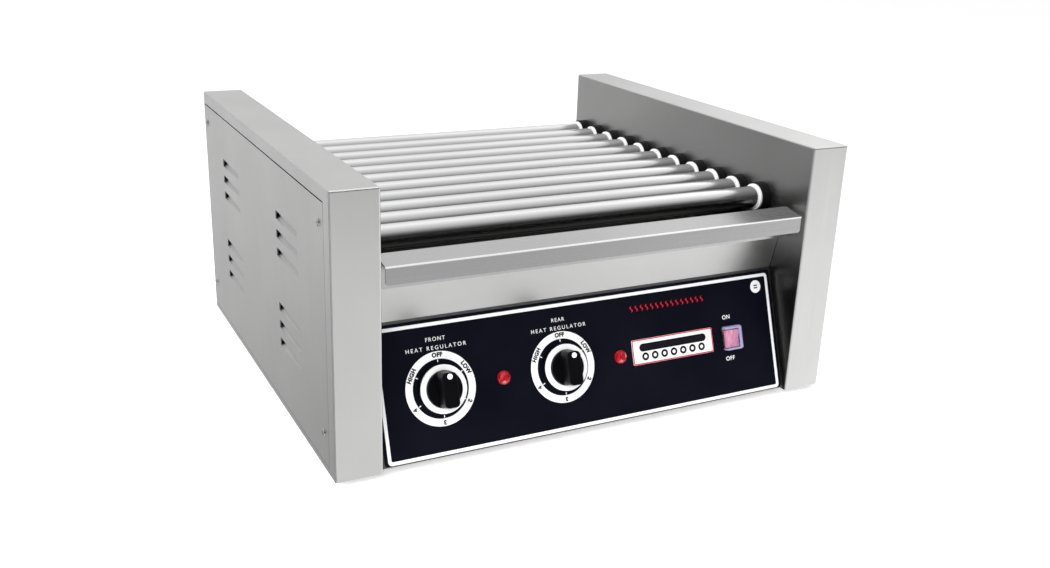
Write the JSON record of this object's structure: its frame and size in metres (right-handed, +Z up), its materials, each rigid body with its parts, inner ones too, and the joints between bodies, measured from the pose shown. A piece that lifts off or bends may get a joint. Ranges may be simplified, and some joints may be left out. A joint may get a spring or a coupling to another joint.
{
  "type": "hot dog roller grill",
  "caption": "Countertop hot dog roller grill: chain-driven heated rollers between two stainless housings, with two heat dials, a rocker switch and a pull-out drip tray.",
  "frame": {"origin": "middle of the footprint, on the surface the feet stand on", "axes": "+X along the rollers, towards the drive housing; +Y from the control panel to the back; +Z up"},
  "size_m": [0.5936, 0.5312, 0.293],
  "materials": {
    "roller_steel": "polished",
    "sprocket_steel": "machined",
    "chain_steel": "oiled",
    "inner_steel": "galvanised",
    "motor_paint": "satin",
    "cast_alloy": "as cast",
    "element_sheath": "heat stained",
    "casing_steel": "fine brushed",
    "side_panel_steel": "fine brushed",
    "rear_panel_steel": "fine brushed",
    "deck_steel": "fine brushed",
    "fascia_steel": "fine brushed",
    "tray_steel": "fine brushed",
    "overlay_print": "satin, printed",
    "black_plastic": "moulded",
    "white_plastic": "moulded",
    "white_ptfe": "smooth",
    "knob_black": "satin moulded",
    "knob_ring_silver": "spun",
    "lens_red": "faceted, clear",
    "switch_black": "moulded",
    "rocker_red": "moulded",
    "boot_clear": "clear, soft",
    "badge_white": "printed",
    "foot_rubber": "matte",
    "screw_steel": "bright"
  },
  "bodies": {
    "root": {"badge_plate": "badge_white", "base_pan": "inner_steel", "bearing_caps": "black_plastic", "casing_screws": "screw_steel", "chain_guide_rail": "white_plastic", "control_overlay": "overlay_print", "cord_gland": "black_plastic", "drive_chain": "chain_steel", "drive_motor": "motor_paint", "element_brackets": "inner_steel", "front_fascia": "fascia_steel", "front_heating_elements": "element_sheath", "heat_regulators": "black_plastic", "idler_bracket": "inner_steel", "left_housing": "casing_steel", "left_side_panel": "side_panel_steel", "motor_bracket": "inner_steel", "motor_gearbox": "cast_alloy", "pilot_lamp_holders": "black_plastic", "pilot_lamp_lenses": "lens_red", "rear_heating_elements": "element_sheath", "rear_panel": "rear_panel_steel", "right_housing": "casing_steel", "right_side_panel": "side_panel_steel", "rubber_feet": "foot_rubber", "seal_rings": "white_ptfe", "switch_boot": "boot_clear", "switch_housing": "switch_black", "terminal_block": "white_plastic", "tray_deck": "deck_steel"},
    "roller_01": {"roller_01": "roller_steel", "roller_sprocket_01": "sprocket_steel"},
    "roller_02": {"roller_02": "roller_steel", "roller_sprocket_02": "sprocket_steel"},
    "roller_03": {"roller_03": "roller_steel", "roller_sprocket_03": "sprocket_steel"},
    "roller_04": {"roller_04": "roller_steel", "roller_sprocket_04": "sprocket_steel"},
    "roller_05": {"roller_05": "roller_steel", "roller_sprocket_05": "sprocket_steel"},
    "roller_06": {"roller_06": "roller_steel", "roller_sprocket_06": "sprocket_steel"},
    "roller_07": {"roller_07": "roller_steel", "roller_sprocket_07": "sprocket_steel"},
    "roller_08": {"roller_08": "roller_steel", "roller_sprocket_08": "sprocket_steel"},
    "roller_09": {"roller_09": "roller_steel", "roller_sprocket_09": "sprocket_steel"},
    "roller_10": {"roller_10": "roller_steel", "roller_sprocket_10": "sprocket_steel"},
    "roller_11": {"roller_11": "roller_steel", "roller_sprocket_11": "sprocket_steel"},
    "motor_shaft": {"motor_sprocket": "sprocket_steel"},
    "idler": {"idler_sprocket": "sprocket_steel"},
    "front_knob": {"front_knob": "knob_black", "front_knob_ring": "knob_ring_silver"},
    "rear_knob": {"rear_knob": "knob_black", "rear_knob_ring": "knob_ring_silver"},
    "rocker": {"switch_rocker": "rocker_red"},
    "tray": {"drip_tray": "tray_steel"}
  },
  "joints": [
    {"name": "roller_01_spin", "type": "hinge", "parent": "root", "child": "roller_01", "pos_m": [0, -0.1818, 0.22065], "axis": [1, 0, 0], "continuous": true, "deforming": ["drive_chain"]},
    {"name": "roller_02_spin", "type": "hinge", "parent": "root", "child": "roller_02", "pos_m": [0, -0.14053, 0.21997], "axis": [1, 0, 0], "continuous": true},
    {"name": "roller_03_spin", "type": "hinge", "parent": "root", "child": "roller_03", "pos_m": [0, -0.09926, 0.21929], "axis": [1, 0, 0], "continuous": true},
    {"name": "roller_04_spin", "type": "hinge", "parent": "root", "child": "roller_04", "pos_m": [0, -0.05799, 0.21861], "axis": [1, 0, 0], "continuous": true},
    {"name": "roller_05_spin", "type": "hinge", "parent": "root", "child": "roller_05", "pos_m": [0, -0.01672, 0.21793], "axis": [1, 0, 0], "continuous": true},
    {"name": "roller_06_spin", "type": "hinge", "parent": "root", "child": "roller_06", "pos_m": [0, 0.02455, 0.21725], "axis": [1, 0, 0], "continuous": true},
    {"name": "roller_07_spin", "type": "hinge", "parent": "root", "child": "roller_07", "pos_m": [0, 0.06582, 0.21657], "axis": [1, 0, 0], "continuous": true},
    {"name": "roller_08_spin", "type": "hinge", "parent": "root", "child": "roller_08", "pos_m": [0, 0.10709, 0.21588], "axis": [1, 0, 0], "continuous": true},
    {"name": "roller_09_spin", "type": "hinge", "parent": "root", "child": "roller_09", "pos_m": [0, 0.14835, 0.2152], "axis": [1, 0, 0], "continuous": true},
    {"name": "roller_10_spin", "type": "hinge", "parent": "root", "child": "roller_10", "pos_m": [0, 0.18962, 0.21452], "axis": [1, 0, 0], "continuous": true},
    {"name": "roller_11_spin", "type": "hinge", "parent": "root", "child": "roller_11", "pos_m": [0, 0.23089, 0.21384], "axis": [1, 0, 0], "continuous": true},
    {"name": "motor_shaft_spin", "type": "hinge", "parent": "root", "child": "motor_shaft", "pos_m": [0.25, -0.02, 0.112], "axis": [1, 0, 0], "continuous": true},
    {"name": "idler_spin", "type": "hinge", "parent": "root", "child": "idler", "pos_m": [0.257, 0.11, 0.11461], "axis": [1, 0, 0], "continuous": true},
    {"name": "front_knob_turn", "type": "hinge", "parent": "root", "child": "front_knob", "pos_m": [-0.1765, -0.23311, 0.07303], "axis": [0, 0.9416, -0.3366], "range_deg": [0, 300]},
    {"name": "rear_knob_turn", "type": "hinge", "parent": "root", "child": "rear_knob", "pos_m": [-0.0375, -0.23311, 0.07303], "axis": [0, 0.9416, -0.3366], "range_deg": [0, 300]},
    {"name": "rocker_tilt", "type": "hinge", "parent": "root", "child": "rocker", "pos_m": [0.1794, -0.23405, 0.07337], "axis": [-1, 0, 0], "range_deg": [0, 20]},
    {"name": "tray_slide", "type": "slide", "parent": "root", "child": "tray", "axis": [0, -1, 0], "range_m": [0, 0.38]}
  ],
  "couplings": [
    {"joint": "roller_02_spin", "follows": "roller_01_spin", "ratio": 1},
    {"joint": "roller_03_spin", "follows": "roller_01_spin", "ratio": 1},
    {"joint": "roller_04_spin", "follows": "roller_01_spin", "ratio": 1},
    {"joint": "roller_05_spin", "follows": "roller_01_spin", "ratio": 1},
    {"joint": "roller_06_spin", "follows": "roller_01_spin", "ratio": 1},
    {"joint": "roller_07_spin", "follows": "roller_01_spin", "ratio": 1},
    {"joint": "roller_08_spin", "follows": "roller_01_spin", "ratio": 1},
    {"joint": "roller_09_spin", "follows": "roller_01_spin", "ratio": 1},
    {"joint": "roller_10_spin", "follows": "roller_01_spin", "ratio": 1},
    {"joint": "roller_11_spin", "follows": "roller_01_spin", "ratio": 1},
    {"joint": "motor_shaft_spin", "follows": "roller_01_spin", "ratio": 1.3333},
    {"joint": "idler_spin", "follows": "roller_01_spin", "ratio": 1.3333}
  ]
}
